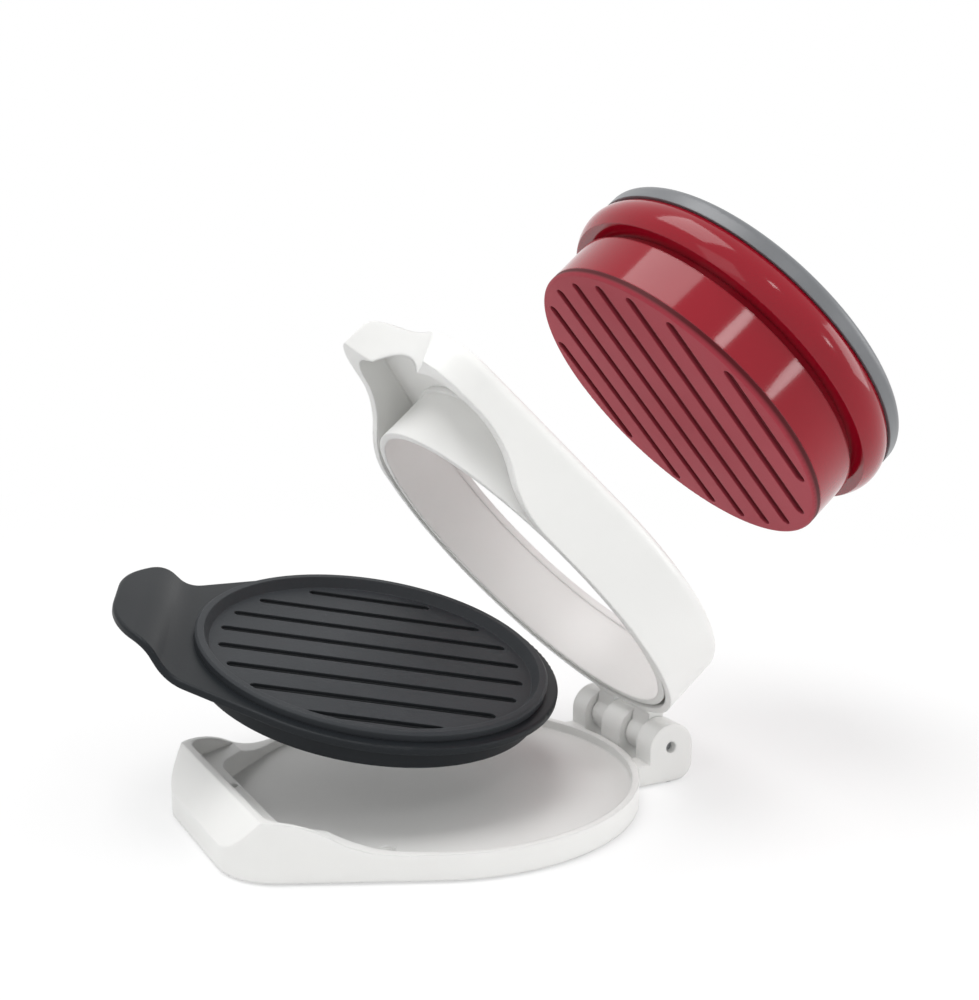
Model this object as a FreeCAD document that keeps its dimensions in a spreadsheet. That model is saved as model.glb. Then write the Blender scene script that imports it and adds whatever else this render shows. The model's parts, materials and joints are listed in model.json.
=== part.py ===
import FreeCAD, Part
import math
import os
import re

import Sketcher

# Hamburger press: hinged base and lid, lifting tray and ridged hand press.
# The pieces are drawn closed and assembled, and are then placed as they are laid out
# for use: lid open, tray lifted off its seat, press drawn out along the mould's axis.
# The origin is on the table under the mould's axis, +X points to the hinge and +Z up.

Vector = FreeCAD.Vector

GROOVES = 8
SCREWS = 4
FIRST_SCREW_ANGLE = 45.0
SHEET = "dims"

# An arc drawn as a half circle is this much larger, so that it stays under a half circle
HALF_ROUND = 1.0001
# The least volume, in cubic millimetres, that a cut has to take away
LEAST_CUT = 1e-3
# How near, in millimetres, a point lies to a place that it is meant to be at
NEAR = 1e-3

# Driving sizes in millimetres and degrees, each in a cell of the sheet
SIZES = {
    # Plan outline of the base, which the lid shares apart from its longer nose
    "shell_radius": 68.0,
    "nose_out": 16.0,
    "corner_radius": 22.0,
    "corner_y": 22.0,
    "shell_wall": 2.4,
    # Base
    "floor_gap": 0.8,
    "rim_height": 9.0,
    "deck_height": 6.0,
    "deck_thickness": 2.4,
    "seat_in": 2.0,
    "seat_corner": 12.0,
    "seat_corner_y": 24.0,
    "lip_rise": 6.3,
    "facet_depth": 8.0,
    "lip_wall": 2.4,
    "lip_flat": 1.0,
    "lip_slope_run": 36.0,
    "facet_foot": 8.5,
    "shelf_side": 6.0,
    "shelf_corner": 8.0,
    "slot_width": 3.0,
    "slot_length": 44.0,
    "slot_depth": 5.0,
    "peg_hole_radius": 1.6,
    "peg_hole_y": 9.0,
    "dimple_radius": 2.6,
    "dimple_depth": 0.8,
    "dimple_inset": 10.0,
    "dimple_angle": 49.2,
    # Feet under the base
    "foot_radius": 6.5,
    "foot_inset": 11.4,
    "rear_foot_radius": 3.6,
    "centre_foot_radius": 11.0,
    "foot_recess": 1.5,
    "foot_chamfer": 0.5,
    "boss_wall": 2.0,
    # Hinge
    "hinge_out": 9.0,
    "hinge_rise": 4.0,
    "pin_radius": 2.0,
    "pin_fit": 0.02,
    "running_gap": 0.05,
    "pin_recess": 3.0,
    "knuckle_radius": 6.0,
    "ear_radius": 8.5,
    "ear_inner": 17.0,
    "ear_width": 9.0,
    "ear_sink": 1.0,
    "ear_heel": 6.0,
    "centre_ear": 12.0,
    "knuckle_gap": 0.5,
    "web_height": 8.0,
    # Lid
    "lid_gap": 0.6,
    "lid_height": 41.4,
    "roof": 2.6,
    "roof_fillet": 4.0,
    "lid_nose_out": 24.0,
    "nose_lift": 12.2,
    "lid_slope_out": 4.0,
    "lid_slope_run": 38.0,
    "scoop_radius": 60.0,
    "scoop_depth": 11.0,
    "scoop_tilt": 28.0,
    "nose_block": 6.0,
    # Mould ring
    "mould_inset": 6.0,
    "mould_wall": 2.4,
    "mould_flange": 2.0,
    "mould_gap": 1.2,
    # Lifting tray
    "seat_gap": 0.5,
    "tray_depth": 9.7,
    "tray_side": 2.1,
    "tray_wall": 2.2,
    "tray_flange": 2.4,
    "tray_edge": 0.8,
    "wing_cut": 11.5,
    "handle_out": 2.0,
    "handle_corner": 29.0,
    "handle_half_width": 35.5,
    "root_lap": 41.5,
    "climb_radius": 11.0,
    "climb_angle": 46.0,
    "climb_clear": 4.2,
    "crest_radius": 12.0,
    "crest_angle": 3.0,
    "curl_radius": 60.0,
    "curl_angle": 8.0,
    "curl_run": 12.0,
    # Patty plate
    "plate_inset": 2.5,
    "plate_rim": 4.0,
    "plate_rim_height": 3.0,
    "plate_floor": 2.6,
    "plate_drop": 0.6,
    "plate_bead": 1.0,
    "plate_gap": 0.5,
    "plate_wall_slope": 2.0,
    "plate_rim_chamfer": 0.8,
    "plate_groove_width": 3.6,
    "plate_groove_depth": 1.3,
    "plate_groove_share": 0.2235,
    "plate_groove_margin": 3.0,
    # Press
    "press_gap": 0.5,
    "press_stop": 0.3,
    "face_thickness": 3.0,
    "face_round": 1.2,
    "face_spigot": 5.0,
    "patty_gap": 0.7,
    "press_wall": 2.6,
    "press_floor": 2.4,
    "neck_height": 3.2,
    "neck_depth": 2.4,
    "neck_rise": 5.0,
    "nest_gap": 0.2,
    "collar_inset": 1.0,
    "collar_height": 12.5,
    "collar_wall": 2.6,
    "collar_bulge": 2.2,
    "cap_inset": 1.0,
    "cap_height": 6.5,
    "cap_roof": 2.6,
    "cap_round": 3.0,
    "cap_dish": 1.6,
    "cap_rim": 20.0,
    "cap_spigot": 3.0,
    "post_radius": 4.5,
    "post_inset": 24.0,
    "screw_radius": 1.5,
    "screw_grip": 9.0,
    "screw_head_radius": 3.2,
    "screw_head": 2.2,
    "press_groove_width": 4.4,
    "press_groove_depth": 1.7,
    "press_groove_share": 0.2387,
    "press_groove_margin": 4.0,
    # Laid out for use
    "lid_open": 50.0,
    "press_lift": 78.0,
    "tray_turn": 47.9,
    "tray_axis_plan": -65.2,
    "tray_axis_rise": -18.9,
    "tray_axis_in": 10.7,
    "tray_axis_drop": 39.0,
}

# Sizes that follow from others, as formulas of named sizes marked by a leading @
DERIVED = {
    # Plan outline of the base, which the lid shares apart from its longer nose
    "corner_x": "@shell_radius + @nose_out - @corner_radius",
    # Base
    "seat_nose": "@shell_radius - @seat_in",
    "lip_height": "@deck_height + @tray_depth - @tray_flange + @lip_rise",
    "lip_edge_x": "@shell_radius + @nose_out - @facet_depth",
    "lip_slope_far": "@lip_edge_x - @lip_flat",
    "lip_slope_near": "@lip_slope_far - @lip_slope_run",
    "dimple_x": "(@shell_radius - @dimple_inset) * cos(@dimple_angle * 1deg)",
    "dimple_y": "(@shell_radius - @dimple_inset) * sin(@dimple_angle * 1deg)",
    # Feet under the base
    "foot_spread": "(@shell_radius - @foot_inset) * cos(45deg)",
    # Hinge
    "hinge_x": "@shell_radius + @hinge_out",
    "hinge_height": "@rim_height + @hinge_rise",
    # Lid
    "lid_corner_x": "@shell_radius + @lid_nose_out - @corner_radius",
    "lid_nose_height": "@deck_height + @seat_gap + @tray_depth + @lid_gap + @nose_lift",
    "lid_slope_far": "@shell_radius + @lid_slope_out",
    "lid_slope_near": "@lid_slope_far - @lid_slope_run",
    # Mould ring
    "mould_radius": "@shell_radius - @mould_inset",
    # Lifting tray
    "tray_radius": "@shell_radius - @shell_wall - @tray_side",
    "wing_end": "@tray_radius - @wing_cut",
    "handle_reach": "@shell_radius + @nose_out + @handle_out",
    "handle_root": "@plate_radius - @root_lap",
    "climb_start": "@plate_radius",
    "climb_run": "@lip_edge_x - @lip_wall - @climb_clear - @plate_radius"
                 " - @climb_radius * sin(@climb_angle * 1deg)",
    # Patty plate
    "plate_radius": "@mould_radius - @plate_inset",
    "plate_groove_pitch": "@plate_radius * @plate_groove_share",
    # Press
    "press_height": "@lid_height + @press_stop - @neck_height - @deck_height - @seat_gap - @tray_depth"
                    " - @plate_rim_height - @patty_gap",
    "collar_radius": "@shell_radius - @collar_inset",
    "cap_radius": "@collar_radius - @cap_inset",
    "cap_dish_radius": "@cap_radius - @cap_rim",
    "post_circle": "@mould_radius - @post_inset",
    "press_groove_pitch": "@mould_radius * @press_groove_share",
    # Laid out for use
    "tray_axis_x": "@hinge_x - @tray_axis_in",
    "tray_axis_height": "@hinge_height - @tray_axis_drop",
}

doc = FreeCAD.newDocument("hamburger_press")
sheet = doc.addObject("Spreadsheet::Sheet", SHEET)
for row, (alias, value) in enumerate(SIZES.items(), start=1):
    sheet.set("A%d" % row, alias)
    sheet.set("B%d" % row, str(value))
    sheet.setAlias("B%d" % row, alias)
doc.recompute()


def formula(text):
    """Spell a formula of named sizes, each marked by a leading @, in cells of the sheet."""

    def spell(match):
        """Give a driving size as its cell and any other size as its own formula."""
        name = match.group(1)
        return "(%s)" % formula(DERIVED[name]) if name in DERIVED else "%s.%s" % (SHEET, name)

    return re.sub(r"@(\w+)", spell, text)


def size(text):
    """Return the number that a formula of named sizes has now."""
    return float(sheet.evalExpression(formula(text)))


def bind(thing, prop, text):
    """Tie a property of a feature to a formula of named sizes."""
    thing.setExpression(prop, formula(text))


def new_body(label):
    """Start one piece."""
    body = doc.addObject("PartDesign::Body", label)
    body.Label = label
    return body


def new_sketch(body, plane, offset="0"):
    """Start a sketch on one of the body's own origin planes, moved along its normal."""
    sketch = body.newObject("Sketcher::SketchObject", body.Label + "_sketch")
    support = [part for part in body.Origin.OriginFeatures if part.Role == plane][0]
    sketch.AttachmentSupport = [(support, "")]
    sketch.MapMode = "FlatFace"
    bind(sketch, "AttachmentOffset.Base.z", offset)
    return sketch


def dimension(sketch, kind, geometry, point, text):
    """Dimension one point of a sketch from its origin."""
    constraint = Sketcher.Constraint(kind, -1, 1, geometry, point, size(text))
    index = sketch.addConstraint(constraint)
    bind(sketch, "Constraints[%d]" % index, text)


def place_point(sketch, geometry, point, x_text, y_text):
    """Hold one point of a sketch at named coordinates, on an axis where one of them is zero."""
    if x_text == "0":
        sketch.addConstraint(Sketcher.Constraint("PointOnObject", geometry, point, -2))
    else:
        dimension(sketch, "DistanceX", geometry, point, x_text)
    if y_text == "0":
        sketch.addConstraint(Sketcher.Constraint("PointOnObject", geometry, point, -1))
    else:
        dimension(sketch, "DistanceY", geometry, point, y_text)


def set_radius(sketch, geometry, text):
    """Dimension the radius of a circle or an arc."""
    index = sketch.addConstraint(Sketcher.Constraint("Radius", geometry, size(text)))
    bind(sketch, "Constraints[%d]" % index, text)


def add_circle(sketch, x_text, y_text, radius):
    """Draw a circle from its named centre and radius."""
    centre = Vector(size(x_text), size(y_text), 0)
    circle = sketch.addGeometry(Part.Circle(centre, Vector(0, 0, 1), size(radius)), False)
    set_radius(sketch, circle, radius)
    if x_text == "0" and y_text == "0":
        sketch.addConstraint(Sketcher.Constraint("Coincident", circle, 3, -1, 1))
    else:
        place_point(sketch, circle, 3, x_text, y_text)


def arc_between(start, end, radius):
    """Return an arc under a half circle; a positive radius bulges to the right of the run."""
    run = end - start
    reach = math.sqrt(max(radius * radius - run.Length ** 2 / 4.0, 0.0))
    left = Vector(-run.y, run.x, 0).normalize()
    centre = (start + end) * 0.5 + left * math.copysign(reach, radius)
    first, last = (start, end) if radius > 0 else (end, start)
    circle = Part.Circle(centre, Vector(0, 0, 1), abs(radius))
    angles = [math.atan2(point.y - centre.y, point.x - centre.x) for point in (first, last)]
    return Part.ArcOfCircle(circle, *angles)


def add_outline(sketch, points, bulges=None):
    """Draw a closed outline through named points; bulges gives signed arc radii by run."""
    bulges = bulges or {}
    places = [Vector(size(x_text), size(y_text), 0) for x_text, y_text in points]
    runs, ends = [], []
    for index, start in enumerate(places):
        end = places[(index + 1) % len(places)]
        radius = size(bulges[index]) if index in bulges else 0.0
        edge = arc_between(start, end, radius) if radius else Part.LineSegment(start, end)
        runs.append(sketch.addGeometry(edge, False))
        ends.append((2, 1) if radius < 0 else (1, 2))
    for index, run in enumerate(runs):
        follower = (index + 1) % len(runs)
        joint = Sketcher.Constraint("Coincident", run, ends[index][1], runs[follower], ends[follower][0])
        sketch.addConstraint(joint)
    for index, (x_text, y_text) in enumerate(points):
        place_point(sketch, runs[index], ends[index][0], x_text, y_text)
    for index, text in bulges.items():
        set_radius(sketch, runs[index], text if size(text) > 0 else "-1 * (%s)" % text)


def add_rectangle(sketch, left, right, low, high):
    """Draw a rectangle from four named sides."""
    add_outline(sketch, [(left, low), (right, low), (right, high), (left, high)])


def add_shield(sketch, radius, corner, corner_x, corner_y):
    """Draw the plan outline: a round body drawn out to a nose with two rounded corners."""
    main, small = size(radius), size(corner)
    centres = [Vector(0, 0, 0)]
    centres += [Vector(-size(corner_x), side * size(corner_y), 0) for side in (1, -1)]
    radii = [main, small, small]
    touch = []
    for index in range(3):
        here, there = centres[index], centres[(index + 1) % 3]
        run = there - here
        lean = math.asin((radii[index] - radii[(index + 1) % 3]) / run.Length)
        across = math.atan2(run.y, run.x) - math.pi / 2 + lean
        normal = Vector(math.cos(across), math.sin(across), 0)
        touch.append((here + normal * radii[index], there + normal * radii[(index + 1) % 3]))
    arcs, lines = [], []
    for index in range(3):
        arrive, leave = touch[index - 1][1], touch[index][0]
        first = math.atan2(arrive.y - centres[index].y, arrive.x - centres[index].x)
        last = math.atan2(leave.y - centres[index].y, leave.x - centres[index].x)
        circle = Part.Circle(centres[index], Vector(0, 0, 1), radii[index])
        arcs.append(sketch.addGeometry(Part.ArcOfCircle(circle, first, last), False))
        lines.append(sketch.addGeometry(Part.LineSegment(*touch[index]), False))
    for index in range(3):
        follower = (index + 1) % 3
        sketch.addConstraint(Sketcher.Constraint("Tangent", arcs[index], 2, lines[index], 1))
        sketch.addConstraint(Sketcher.Constraint("Tangent", lines[index], 2, arcs[follower], 1))
    sketch.addConstraint(Sketcher.Constraint("Coincident", arcs[0], 3, -1, 1))
    place_point(sketch, arcs[1], 3, "-1 * (%s)" % corner_x, corner_y)
    place_point(sketch, arcs[2], 3, "-1 * (%s)" % corner_x, "-1 * (%s)" % corner_y)
    set_radius(sketch, arcs[0], radius)
    set_radius(sketch, arcs[1], corner)
    set_radius(sketch, arcs[2], corner)


def pad(body, sketch, length, midplane=False):
    """Raise a sketch into material."""
    feature = body.newObject("PartDesign::Pad", body.Label + "_pad")
    feature.Profile = sketch
    feature.Midplane = midplane
    bind(feature, "Length", length)
    doc.recompute()
    return feature


def pocket(body, sketch, length, midplane=False, upward=False):
    """Cut a sketch out of the piece, and stop if nothing was cut."""
    before = body.Shape.Volume
    feature = body.newObject("PartDesign::Pocket", body.Label + "_pocket")
    feature.Profile = sketch
    feature.Midplane = midplane
    feature.Reversed = upward
    bind(feature, "Length", length)
    doc.recompute()
    if not body.Shape.Volume < before - LEAST_CUT:
        raise RuntimeError("a pocket of %s cuts nothing" % body.Label)
    return feature


def turn(body, points, bulges=None, cut=False):
    """Turn an outline of radius and height about the Z axis, as material or as a groove."""
    sketch = new_sketch(body, "XZ_Plane")
    add_outline(sketch, points, bulges)
    before = body.Shape.Volume if cut else 0.0
    kind = "PartDesign::Groove" if cut else "PartDesign::Revolution"
    feature = body.newObject(kind, body.Label + "_turn")
    feature.Profile = sketch
    feature.ReferenceAxis = (sketch, ["V_Axis"])
    feature.Angle = 360.0
    doc.recompute()
    if cut and not body.Shape.Volume < before - LEAST_CUT:
        raise RuntimeError("a groove of %s cuts nothing" % body.Label)
    return feature


def round_edges(body, feature, wanted, radius):
    """Round the edges of a feature whose middle point passes a test."""
    names = []
    for index, edge in enumerate(feature.Shape.Edges, start=1):
        middle = edge.valueAt(0.5 * (edge.FirstParameter + edge.LastParameter))
        if wanted(middle):
            names.append("Edge%d" % index)
    fillet = body.newObject("PartDesign::Fillet", body.Label + "_round")
    fillet.Base = (feature, names)
    bind(fillet, "Radius", radius)
    doc.recompute()
    return fillet


def add_grooves(sketch, reach, pitch, width):
    """Draw the row of round-ended grooves inside a circle of the given reach."""
    for index in range(GROOVES):
        across = "(%s * %g)" % (pitch, index - (GROOVES - 1) / 2.0)
        half = "(sqrt((%s)^2 - %s^2) - %s / 2)" % (reach, across, width)
        low = "%s - %s / 2" % (across, width)
        high = "%s + %s / 2" % (across, width)
        bulge = "%s / 2 * %g" % (width, HALF_ROUND)
        corners = [("-1 * " + half, low), (half, low), (half, high), ("-1 * " + half, high)]
        add_outline(sketch, corners, {1: bulge, 3: bulge})


def s_slope(near, low, far, high):
    """Return the middle point and the arc radius of an S-shaped slope between two levels."""
    middle = ("-0.5 * (%s + %s)" % (near, far), "0.5 * (%s + %s)" % (low, high))
    radius = "(((%s) - (%s))^2 + ((%s) - (%s))^2) / (4 * ((%s) - (%s)))" % (far, near, high, low, high, low)
    return middle, radius


NOSE_REACH = "(@corner_x + @corner_radius)"
LID_REACH = "(@lid_corner_x + @corner_radius)"
FAR = "(2 * @shell_radius)"
DECK_BOTTOM = "(@deck_height - @deck_thickness)"
SEAT_RADIUS = "(@shell_radius - @shell_wall)"
ROOF_BOTTOM = "(@lid_height - @roof)"
TRAY_BOTTOM = "(@deck_height + @seat_gap)"
FLANGE_TOP = "(@deck_height + @seat_gap + @tray_depth)"
FLANGE_BOTTOM = "(@deck_height + @seat_gap + @tray_depth - @tray_flange)"
SHELF = "(@deck_height + @tray_depth - @tray_flange)"
LID_RIM = "(@deck_height + @seat_gap + @tray_depth + @lid_gap)"
PLATE_BORE = "(@plate_radius - @plate_rim + @plate_gap)"
PLATE_TOP = "(@deck_height + @seat_gap + @tray_depth + @plate_rim_height)"
PLATE_FLOOR_TOP = "(@deck_height + @seat_gap + @tray_depth - @plate_drop)"
MOULD_BOTTOM = "(@deck_height + @seat_gap + @tray_depth + @mould_gap)"
PRESS_RADIUS = "(@mould_radius - @press_gap)"
COLLAR_BOTTOM = "(@lid_height + @press_stop)"
NECK_BOTTOM = "(@lid_height + @press_stop - @neck_height)"
FACE_BOTTOM = "(@lid_height + @press_stop - @neck_height - @press_height)"
FACE_TOP = "(@lid_height + @press_stop - @neck_height - @press_height + @face_thickness)"
COLLAR_TOP = "(@lid_height + @press_stop + @collar_height)"
CAP_TOP = "(@lid_height + @press_stop + @collar_height + @cap_height)"
EAR_OUTER = "(@ear_inner + @ear_width)"


def make_base():
    """Build the base: low round tray with a raised nose, a circular seat and hinge ears."""
    body = new_body("base_shell")
    plan = new_sketch(body, "XY_Plane", "@floor_gap")
    add_shield(plan, "@shell_radius", "@corner_radius", "@corner_x", "@corner_y")
    pad(body, plan, "@lip_height - @floor_gap")

    slope = new_sketch(body, "XZ_Plane")
    middle, radius = s_slope("@lip_slope_near", "@rim_height", "@lip_slope_far", "@lip_height")
    far_side, above = FAR, "2 * @lip_height"
    points = [("-1 * @lip_slope_far", "@lip_height"), middle, ("-1 * @lip_slope_near", "@rim_height"),
              (far_side, "@rim_height"), (far_side, above), ("-1 * @lip_slope_far", above)]
    add_outline(slope, points, {0: "-1 * " + radius, 1: radius})
    pocket(body, slope, "2 * " + FAR, midplane=True)

    facet = new_sketch(body, "XZ_Plane")
    reach = NOSE_REACH
    points = [("-1 * @lip_edge_x", "@lip_height"), ("-1 * @lip_edge_x", above), ("-1 * " + FAR, above),
              ("-1 * " + FAR, "@facet_foot"), ("-1 * " + reach, "@facet_foot")]
    add_outline(facet, points)
    pocket(body, facet, "2 * " + FAR, midplane=True)

    ear_foot = "(@rim_height - @ear_sink)"
    front, back, root = "@hinge_x - @ear_radius", "@hinge_x + @ear_radius", "@hinge_x - 3 * @ear_radius"
    ear_points = [(front, "@hinge_height"), (front, ear_foot), (root, ear_foot), (root, "@floor_gap"),
                  (back + " - @ear_heel", "@floor_gap"), (back, "@floor_gap + @ear_heel"),
                  (back, "@hinge_height")]
    spans = [("@ear_inner", "@ear_width"), ("-1 * " + EAR_OUTER, "@ear_width"),
             ("-0.5 * @centre_ear", "@centre_ear")]
    for start, width in spans:
        ear = new_sketch(body, "XZ_Plane", "-1 * (%s) - (%s)" % (start, width))
        add_outline(ear, ear_points, {4: "@ear_heel", 6: "@ear_radius * %g" % HALF_ROUND})
        pad(body, ear, width)

    seat = new_sketch(body, "XY_Plane", "@lip_height")
    add_shield(seat, SEAT_RADIUS, "@seat_corner", "@seat_nose - @seat_corner", "@seat_corner_y")
    pocket(body, seat, "@lip_height - @deck_height")

    shelf = new_sketch(body, "XY_Plane", "@lip_height")
    shelf_reach = "(@lip_edge_x - @lip_wall)"
    add_shield(shelf, SEAT_RADIUS, "@shelf_corner", shelf_reach + " - @shelf_corner",
               "@handle_half_width + @shelf_side - @shelf_corner")
    pocket(body, shelf, "@lip_height - " + SHELF)

    slot = new_sketch(body, "XY_Plane", SHELF)
    add_rectangle(slot, "-1 * " + shelf_reach, "@slot_width - " + shelf_reach,
                  "-0.5 * @slot_length", "0.5 * @slot_length")
    pocket(body, slot, "@slot_depth")

    peg = new_sketch(body, "XY_Plane", SHELF)
    peg_x = "-0.5 * (@seat_nose + %s - @slot_width)" % shelf_reach
    add_circle(peg, peg_x, "@peg_hole_y", "@peg_hole_radius")
    pocket(body, peg, "@slot_depth")

    dimple = new_sketch(body, "XY_Plane", "@deck_height")
    add_circle(dimple, "-1 * @dimple_x", "-1 * @dimple_y", "@dimple_radius")
    pocket(body, dimple, "@dimple_depth")

    hollow = new_sketch(body, "XY_Plane", "@floor_gap")
    add_shield(hollow, SEAT_RADIUS, "@corner_radius - @shell_wall", "@corner_x", "@corner_y")
    pocket(body, hollow, DECK_BOTTOM + " - @floor_gap", upward=True)

    bosses = new_sketch(body, "XY_Plane", "@floor_gap")
    recesses = new_sketch(body, "XY_Plane", "@floor_gap")
    for _, x_text, y_text, radius in foot_places():
        if radius != "@rear_foot_radius":
            add_circle(bosses, x_text, y_text, radius + " + @boss_wall")
        add_circle(recesses, x_text, y_text, radius)
    pad(body, bosses, DECK_BOTTOM + " - @floor_gap")
    pocket(body, recesses, "@foot_recess", upward=True)

    bore = new_sketch(body, "XZ_Plane")
    add_circle(bore, "@hinge_x", "@hinge_height", "@pin_radius + @pin_fit")
    pocket(body, bore, "2 * " + FAR, midplane=True)
    return body


def foot_places():
    """List the feet by name, place and radius: one under the pressing load, two at the nose
    and two under the hinge ears, behind the weight of the opened lid."""
    places = [("foot_centre", "0", "0", "@centre_foot_radius")]
    for side in (1, -1):
        hand = "left" if side > 0 else "right"
        places.append(("foot_front_" + hand, "-1 * @foot_spread", "%d * @foot_spread" % side, "@foot_radius"))
        places.append(("foot_rear_" + hand, "@hinge_x", "%d * (@ear_inner + @ear_width / 2)" % side,
                       "@rear_foot_radius"))
    return places


def make_feet():
    """Build the rubber feet, each glued into its recess."""
    feet = []
    for name, x_text, y_text, radius in foot_places():
        body = new_body(name)
        top = "(@floor_gap + @foot_recess)"
        turn(body, [("0", "0"), (radius + " - @foot_chamfer", "0"), (radius, "@foot_chamfer"),
                    (radius, top), ("0", top)])
        body.Placement = FreeCAD.Placement(Vector(size(x_text), size(y_text), 0), FreeCAD.Rotation())
        feet.append(body)
    return feet


def make_hinge_pin():
    """Build the steel pin that the lid turns on, sunk in the outer ears."""
    body = new_body("hinge_pin")
    sketch = new_sketch(body, "XZ_Plane")
    add_circle(sketch, "@hinge_x", "@hinge_height", "@pin_radius")
    pad(body, sketch, "2 * (%s - @pin_recess)" % EAR_OUTER, midplane=True)
    return body


def make_lid():
    """Build the lid: skirted shell with a round opening, a scooped nose and hinge knuckles."""
    body = new_body("lid_shell")
    plan = new_sketch(body, "XY_Plane", LID_RIM)
    add_shield(plan, "@shell_radius", "@corner_radius", "@lid_corner_x", "@corner_y")
    block = pad(body, plan, "@lid_height - " + LID_RIM)
    top = size("@lid_height")
    round_edges(body, block, lambda point: abs(point.z - top) < NEAR, "@roof_fillet")

    start, width = "0.5 * @centre_ear + @knuckle_gap", "@ear_inner - 0.5 * @centre_ear - 2 * @knuckle_gap"
    inside = "0.5 * @shell_radius"
    web_points = [(inside, LID_RIM), ("@shell_radius", LID_RIM),
                  ("@hinge_x - 0.5 * @knuckle_radius", "@hinge_height - 0.5 * @knuckle_radius"),
                  ("@hinge_x", "@hinge_height + 0.5 * @knuckle_radius"),
                  ("@shell_radius", LID_RIM + " + @web_height"), (inside, LID_RIM + " + @web_height")]
    for offset in ("-1 * (%s) - (%s)" % (start, width), start):
        web = new_sketch(body, "XZ_Plane", offset)
        add_outline(web, web_points)
        pad(body, web, width)
        knuckle = new_sketch(body, "XZ_Plane", offset)
        add_circle(knuckle, "@hinge_x", "@hinge_height", "@knuckle_radius")
        pad(body, knuckle, width)

    hollow = new_sketch(body, "XY_Plane", LID_RIM)
    add_shield(hollow, SEAT_RADIUS, "@corner_radius - @shell_wall", "@lid_corner_x - @nose_block",
               "@corner_y")
    pocket(body, hollow, ROOF_BOTTOM + " - " + LID_RIM, upward=True)

    opening = new_sketch(body, "XY_Plane", "@lid_height")
    add_circle(opening, "0", "0", "@mould_radius")
    pocket(body, opening, "2 * @roof")

    slope = new_sketch(body, "XZ_Plane")
    middle, radius = s_slope("@lid_slope_near", LID_RIM, "@lid_slope_far", "@lid_nose_height")
    below = "0.5 * @rim_height"
    points = [("-1 * @lid_slope_near", LID_RIM), middle, ("-1 * @lid_slope_far", "@lid_nose_height"),
              ("-1 * " + FAR, "@lid_nose_height"), ("-1 * " + FAR, below), ("-1 * @lid_slope_near", below)]
    add_outline(slope, points, {0: "-1 * " + radius, 1: radius})
    pocket(body, slope, "2 * " + FAR, midplane=True)

    scoop = body.newObject("PartDesign::SubtractiveCylinder", "lid_scoop")
    bind(scoop, "Radius", "@scoop_radius")
    bind(scoop, "Height", "4 * @lid_height")
    lean = FreeCAD.Rotation(Vector(0, 1, 0), -size("@scoop_tilt"))
    edge_x = -size(LID_REACH + " - @scoop_depth")
    middle_point = Vector(edge_x, 0, size("@lid_nose_height"))
    foot = middle_point - lean.multVec(Vector(size("@scoop_radius"), 0, size("2 * @lid_height")))
    scoop.Placement = FreeCAD.Placement(foot, lean)
    doc.recompute()

    bore = new_sketch(body, "XZ_Plane")
    add_circle(bore, "@hinge_x", "@hinge_height", "@pin_radius + @running_gap")
    pocket(body, bore, "2 * " + FAR, midplane=True)
    return body


def make_mould_ring():
    """Build the mould ring that hangs under the lid's roof and shapes the edge of the patty."""
    body = new_body("mould_ring")
    outer = "@mould_radius + @mould_wall"
    flange = SEAT_RADIUS + " - @nest_gap"
    turn(body, [("@mould_radius", MOULD_BOTTOM), (outer, MOULD_BOTTOM),
                (outer, ROOF_BOTTOM + " - @mould_flange"), (flange, ROOF_BOTTOM + " - @mould_flange"),
                (flange, ROOF_BOTTOM), ("@mould_radius", ROOF_BOTTOM)])
    return body


def handle_path():
    """Return the named points of the handle's top line, from the tray outwards."""
    rise_x = "(@climb_start + @climb_radius * sin(@climb_angle * 1deg))"
    rise_z = "(%s + @climb_radius * (1 - cos(@climb_angle * 1deg)))" % FLANGE_TOP
    run_x = "(%s + @climb_run)" % rise_x
    run_z = "(%s + @climb_run * tan(@climb_angle * 1deg))" % rise_z
    crest_x = "(%s + @crest_radius * (sin(@climb_angle * 1deg) - sin(@crest_angle * 1deg)))" % run_x
    crest_z = "(%s + @crest_radius * (cos(@crest_angle * 1deg) - cos(@climb_angle * 1deg)))" % run_z
    curl_x = "(%s + @curl_radius * (sin(@curl_angle * 1deg) - sin(@crest_angle * 1deg)))" % crest_x
    curl_z = "(%s + @curl_radius * (cos(@crest_angle * 1deg) - cos(@curl_angle * 1deg)))" % crest_z
    tip_x = "(%s + @curl_run)" % curl_x
    tip_z = "(%s + @curl_run * tan(@curl_angle * 1deg))" % curl_z
    return [("@climb_start", FLANGE_TOP, "0deg"), (rise_x, rise_z, "@climb_angle * 1deg"),
            (run_x, run_z, "@climb_angle * 1deg"), (crest_x, crest_z, "@crest_angle * 1deg"),
            (curl_x, curl_z, "@curl_angle * 1deg"), (tip_x, tip_z, "@curl_angle * 1deg")]


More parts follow.
